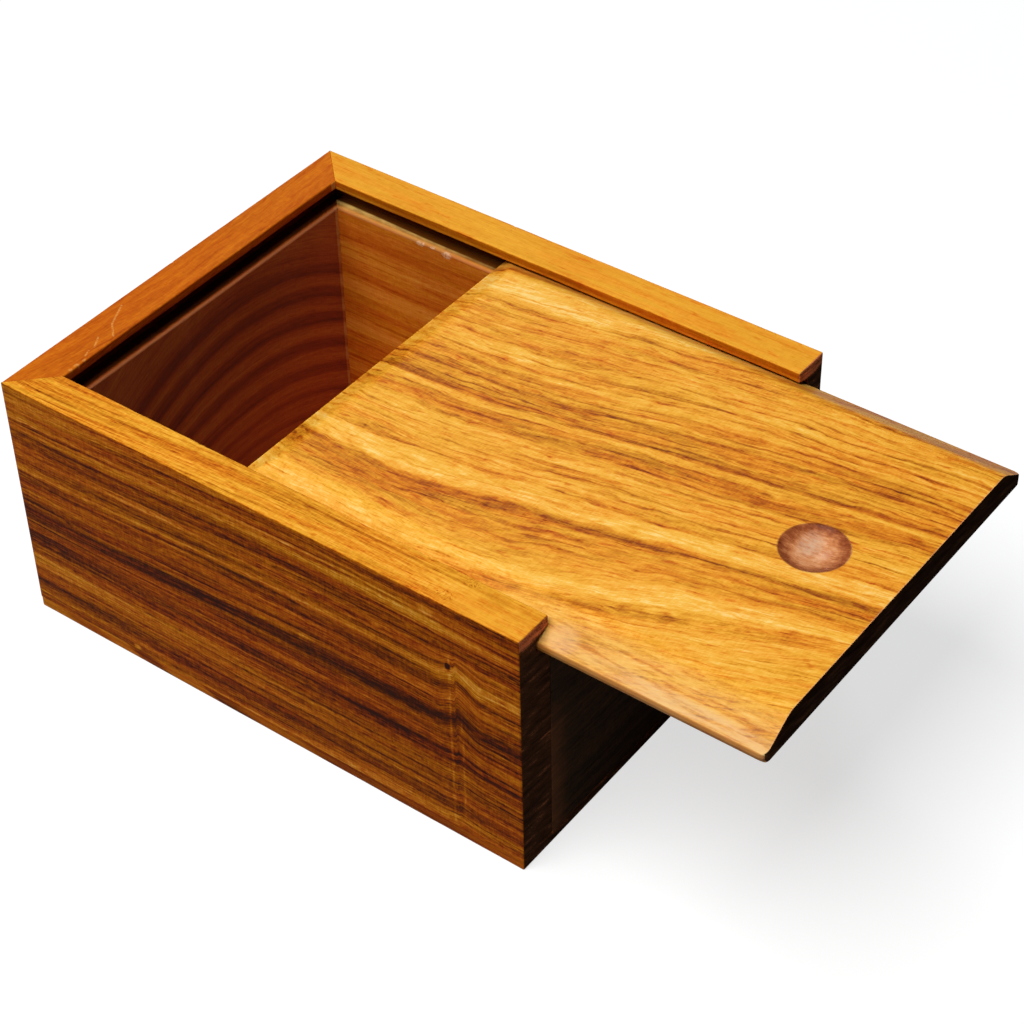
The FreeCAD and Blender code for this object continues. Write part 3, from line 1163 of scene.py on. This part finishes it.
BOARD_TREE = make_board_tree()

# %% [markdown]
# ## The five fixed boards
#
# Each board only needs where its outer lower corner starts, which way it runs, which way is into
# the box, and which ends are mitred or glued.  Its length and place come from the CAD node's box,
# so a change of size in the CAD model carries over to the dressed boards.

# %% Cut and place the boards
EAST, NORTH = Vector((1, 0, 0)), Vector((0, 1, 0))
# Each row says: runs along, inward, mitred at its start and end, glued there, wood.
BOARDS = {
    "side_wall_right": (EAST, NORTH, (1.0, 0.0), (1.0, 0.0), near_wood),
    "side_wall_left": (EAST, -NORTH, (1.0, 0.0), (1.0, 0.0), far_wood),
    "end_wall_closed": (NORTH, EAST, (1.0, 1.0), (1.0, 1.0), closed_wood),
    "end_wall_front": (NORTH, -EAST, (0.0, 0.0), (1.0, 1.0), front_wood),
    "bottom_board": (EAST, NORTH, (0.0, 0.0), (0.0, 0.0), bottom_wood),
}
BOARD_ARRIS = 0.40 * MM
STATION = 0.75 * MM

pieces = {}
for seed, (node_name, plan) in enumerate(BOARDS.items()):
    along, inward, mitres, joints, board_wood = plan
    low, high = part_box(node_name)
    start = Vector([a if a_in >= 0 else b for a, b, a_in in zip(low, high, inward)])
    start.z = 0
    length = (high - low).dot(along)
    piece = grow(node_name + "_board", section_mesh(node_name, along, inward), BOARD_TREE, {
        "Start": start, "Along": along, "Inward": inward, "Length": length,
        "Stations": round(length / STATION), "Mitre Start": mitres[0], "Mitre End": mitres[1],
        "Joint Start": joints[0], "Joint End": joints[1], "Glue Height": GLUE_LINE, "Wear": 1.0,
        "Seed": 7.3 * seed, "Material": board_wood,
    })
    if along is EAST:
        show_end_grain(piece, wall_end)
    ease_arrises(piece, BOARD_ARRIS, "WEIGHT")
    pieces[node_name] = piece

# %% [markdown]
# ## The plan of the lid
#
# The lid starts as a flat grid of small squares, and the round rim of the finger dish would come
# out toothed on it.  So the grid is first pulled round the dish, until one of its squares becomes
# the rim exactly.  The same kind of pull rounds the lid's two front corners.

# %% Helpers for the lid's plan
def snapped(value, lines, reach):
    """Move a value that is within reach of one of the lines onto it."""
    for line in lines:
        value = value + math_node("COMPARE", value, line, reach) * (line - value)
    return value


def pulled_round_dish(size, from_dish, side):
    """Turn the squares round the dish into rings, one of them the rim."""
    rim = size["Dish Radius"]
    ring = maximum(abs(from_dish), side)
    straight = root(from_dish * from_dish + side * side + 1e-12)
    rounding = remap(ring, rim, rim * 1.6, 1.0, 0.0)
    pull = 1.0 + (ring / straight - 1.0) * rounding
    return from_dish * pull, side * pull


def pulled_round_corner(size, run, side):
    past_x = maximum(run - (size["Length"] - size["Corner"]), 0.0)
    past_y = maximum(side - (size["Width"] * 0.5 - size["Corner"]), 0.0)
    straight = root(past_x * past_x + past_y * past_y + 1e-12)
    cut = 1.0 - maximum(past_x, past_y) / straight
    return run - past_x * cut, side - past_y * cut


def lid_plan(size, unit_x, unit_y):
    """The run from the inner end, the same from the dish, and the distance to the side."""
    reach_x = size["Length"] * 0.499 / size["Columns"]
    reach_y = size["Width"] * 0.499 / size["Rows"]
    rim = size["Dish Radius"]
    run = (unit_x + 0.5) * size["Length"]
    from_dish = snapped(run - size["Dish X"], [0.0, rim, rim * -1.0], reach_x)
    side = snapped(abs(unit_y * size["Width"]), [rim], reach_y)
    across_dish, side = pulled_round_dish(size, from_dish, side)
    run, side = pulled_round_corner(size, size["Dish X"] + across_dish, side)
    return run, across_dish, side


print("lid plan helpers ready")

# %% [markdown]
# ## The height of the lid
#
# The lid is a raised panel: a flat field with a bevel on three edges that ends in a thin tongue.
# The grid is lifted to the lower of the side bevels, the end bevel and the flat field, with Smooth
# Minimum where sandpaper has softened the turn.  The dish is a ball's hollow.  The rim of the grid
# is then pulled down and closed underneath, with a chamfer that lets the lid run in its groove.

# %% The panel tree
def panel_height(size, run, across_dish, side, wobble):
    rise = size["Thickness"] - size["Tongue"]

    def bevel_line(distance, width):
        return size["Tongue"] + (distance + wobble - size["Land"]) * rise / width

    end_line = bevel_line(run, size["End Bevel"])
    side_line = bevel_line(size["Width"] * 0.5 - side, size["Side Bevel"])
    bevels = math_node("SMOOTH_MIN", end_line, side_line, size["Hip"])
    height = math_node("SMOOTH_MIN", bevels, size["Thickness"], size["Shoulder"])
    height = maximum(height, size["Tongue"])
    rim, depth = size["Dish Radius"], size["Dish Depth"]
    ball = (rim * rim + depth * depth) / (depth * 2.0)
    reach_2 = across_dish * across_dish + side * side
    drop = root(maximum(ball * ball - reach_2, 0.0))
    return minimum(height, size["Thickness"] - depth + (ball - drop))


def extruded_rim(mesh, selection, position):
    """Pull a ring of faces out of the selected edges, with the new edges at position."""
    inputs = {"Mesh": mesh, "Selection": selection, "Offset Scale": 0.0}
    made = add_node(mesh.tree, "GeometryNodeExtrudeMesh", inputs, mode="EDGES")
    top = Value(made, "Top")
    return set_position(Value(made, "Mesh"), position, top), top


def closed_underneath(size, panel, here):
    """Pull the panel's rim down past a small chamfer and fill the underside."""
    x, y, _ = split(here)
    edge_faces = Value(panel.tree.nodes.new("GeometryNodeInputMeshEdgeNeighbors"))
    border = math_node("COMPARE", edge_faces, 1.0, 0.1)
    ease = size["Under Ease"]
    panel, border = extruded_rim(panel, border, vector(x, y, size["Base Z"] + ease))
    held = size["Width"] * 0.5 - ease
    foot_x = maximum(x, size["Inner X"] + ease)
    foot_y = maximum(minimum(y, held), held * -1.0)
    panel, border = extruded_rim(panel, border, vector(foot_x, foot_y, size["Base Z"]))
    rim_curve = result("GeometryNodeMeshToCurve", {"Mesh": panel, "Selection": border})
    underside = result("GeometryNodeFillCurve", {"Curve": rim_curve}, mode="NGONS")
    at_base = set_position(underside, vector(x, y, size["Base Z"]))
    whole = add_node(panel.tree, "GeometryNodeJoinGeometry", [panel])
    feed(whole, [at_base])
    return Value(whole)


def make_panel_tree():
    numbers = (
        "Inner X", "Base Z", "Length", "Width", "Thickness", "Tongue", "Land", "Side Bevel", "End Bevel",
        "Shoulder", "Hip", "Dish X", "Dish Radius", "Dish Depth", "Under Ease", "Corner", "Handwork",
    )
    tree, size = geometry_tree("raised_panel", numbers, Columns="Int", Rows="Int")
    grid = result("GeometryNodeMeshGrid", {"Vertices X": size["Columns"], "Vertices Y": size["Rows"]})
    here = Value(tree.nodes.new("GeometryNodeInputPosition"))
    unit_x, unit_y, _ = split(here)
    run, across_dish, side = lid_plan(size, unit_x, unit_y)
    out_y = math_node("SIGN", unit_y) * side
    wobble = (noise(vector(run * 45.0, out_y * 45.0, 3.0)) - 0.5) * size["Handwork"]
    height = panel_height(size, run, across_dish, side, wobble)
    panel = set_position(grid, vector(size["Inner X"] + run, out_y, size["Base Z"] + height))
    return close_tree(closed_underneath(size, panel, here), size["Material"])


PANEL_TREE = make_panel_tree()

# %% [markdown]
# ## The lid's sizes
#
# Its length, width, thickness and place come from the CAD node.  The rest is what a maker would
# set on the saw and the sanding block.  The bevels wave by a few tenths of a millimetre, because
# they were shaped by hand.

# %% Make the lid
DISH_FROM_FRONT = 21.8 * MM
LID_ARRIS = 0.25 * MM
LID_SIZES = {
    "Tongue": 2.4 * MM, "Land": 0.2 * MM, "Side Bevel": 8.7 * MM, "End Bevel": 7.9 * MM,
    "Shoulder": 1.7 * MM, "Hip": 0.7 * MM, "Dish Radius": DISH_RADIUS * MM, "Dish Depth": 2.0 * MM,
    "Under Ease": 0.6 * MM, "Corner": 1.8 * MM, "Handwork": 0.3 * MM, "Columns": 240, "Rows": 179,
}

low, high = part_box("sliding_lid")
length, width, thickness = high - low
lid = grow("sliding_lid_panel", bpy.data.meshes.new("lid_start"), PANEL_TREE, {
    "Inner X": low.x, "Base Z": low.z, "Length": length, "Width": width, "Thickness": thickness,
    "Dish X": length - DISH_FROM_FRONT, "Material": lid_wood, **LID_SIZES,
})
show_end_grain(lid, lid_end)
ease_arrises(lid, LID_ARRIS, "ANGLE")
pieces["sliding_lid"] = lid

# %% [markdown]
# ## The floor
#
# The box stands on a plain pale floor, which is there for its soft shadow.  A real white sheet
# bounces a lot of coloured light back into the box, so Light Path makes the floor two things: a
# middle grey for the light that falls on it, and a paler, glowing one for the camera's rays.

# %% Floor
FLOOR_SIZE = 6.0


def grey(shade):
    return (shade, shade, shade, 1.0)


def seen_by_camera(tree):
    """1 for rays that show a surface, straight, mirrored or through glass; 0 for its light."""
    rays = tree.nodes.new("ShaderNodeLightPath")
    straight, mirrored, through = [
        Value(rays, f"Is {kind} Ray") for kind in ("Camera", "Glossy", "Transmission")
    ]
    return maximum(maximum(straight, mirrored), through)


floor = bpy.data.objects.new("floor", bpy.data.meshes.new("floor"))
bpy.context.scene.collection.objects.link(floor)
half = FLOOR_SIZE / 2
corners = [(-half, -half, 0), (half, -half, 0), (half, half, 0), (-half, half, 0)]
floor.data.from_pydata(corners, [], [(0, 1, 2, 3)])
floor_paint = bpy.data.materials.new("floor_paint")
floor_paint.use_nodes = True
floor_paint.node_tree.nodes.clear()
seen = seen_by_camera(floor_paint.node_tree)
matt = result("ShaderNodeBsdfDiffuse", [blend(seen, grey(0.25), grey(0.40))])
glow = result("ShaderNodeEmission", {"Strength": seen * 0.66})
both = result("ShaderNodeAddShader", [matt, glow])
add_node(floor_paint.node_tree, "ShaderNodeOutputMaterial", {"Surface": both})
floor.data.materials.append(floor_paint)
print("floor", FLOOR_SIZE, "m wide")

# %% [markdown]
# ## The studio
#
# One large softbox above the near side is the main light, and a small cool one behind draws a thin
# line along the far edges.  The world fills the shadows.  It looks brighter to the camera than
# the light it gives, by the same trick as the floor.

# %% World and lights
world = bpy.data.worlds.new("studio")
bpy.context.scene.world = world
world.use_nodes = True
background = world.node_tree.nodes["Background"]
feed(background, {"Strength": remap(seen_by_camera(world.node_tree), 0, 1, 0.42, 1.0, smooth=False)})


def soft_light(name, direction, distance, size, power, colour=(1, 1, 1)):
    """A square softbox that looks at the box from a direction."""
    lamp = bpy.data.lights.new(name, "AREA")
    lamp.size = size
    lamp.energy = power
    lamp.color = colour
    lamp_object = bpy.data.objects.new(name, lamp)
    bpy.context.scene.collection.objects.link(lamp_object)
    back = Vector(direction).normalized()
    lamp_object.rotation_euler = back.to_track_quat("Z", "Y").to_euler()
    lamp_object.location = Vector((0, 0, 0.05)) + back * distance
    print(f"{name}: {power} W, {size} m wide")


soft_light("key", (-0.06, -0.40, 0.91), distance=1.6, size=1.1, power=29)
soft_light("back", (-0.47, 0.60, 0.65), distance=1.8, size=0.35, power=6, colour=(0.80, 0.90, 1.0))

bpy.context.scene.view_settings.view_transform = "Standard"

# %% [markdown]
# ## Join the pieces to the CAD model
#
# Five boards are glued together and move as one body, and the lid is a body of its own that
# slides.  Each dressed piece rides on its body and takes the place of one CAD node, which is hidden.

# %% Join the pieces to the CAD model's bodies
for node_name, piece in pieces.items():
    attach(piece, "lid" if node_name == "sliding_lid" else "box")
    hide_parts(node_name)
print("pieces:", [piece.name for piece in pieces.values()])
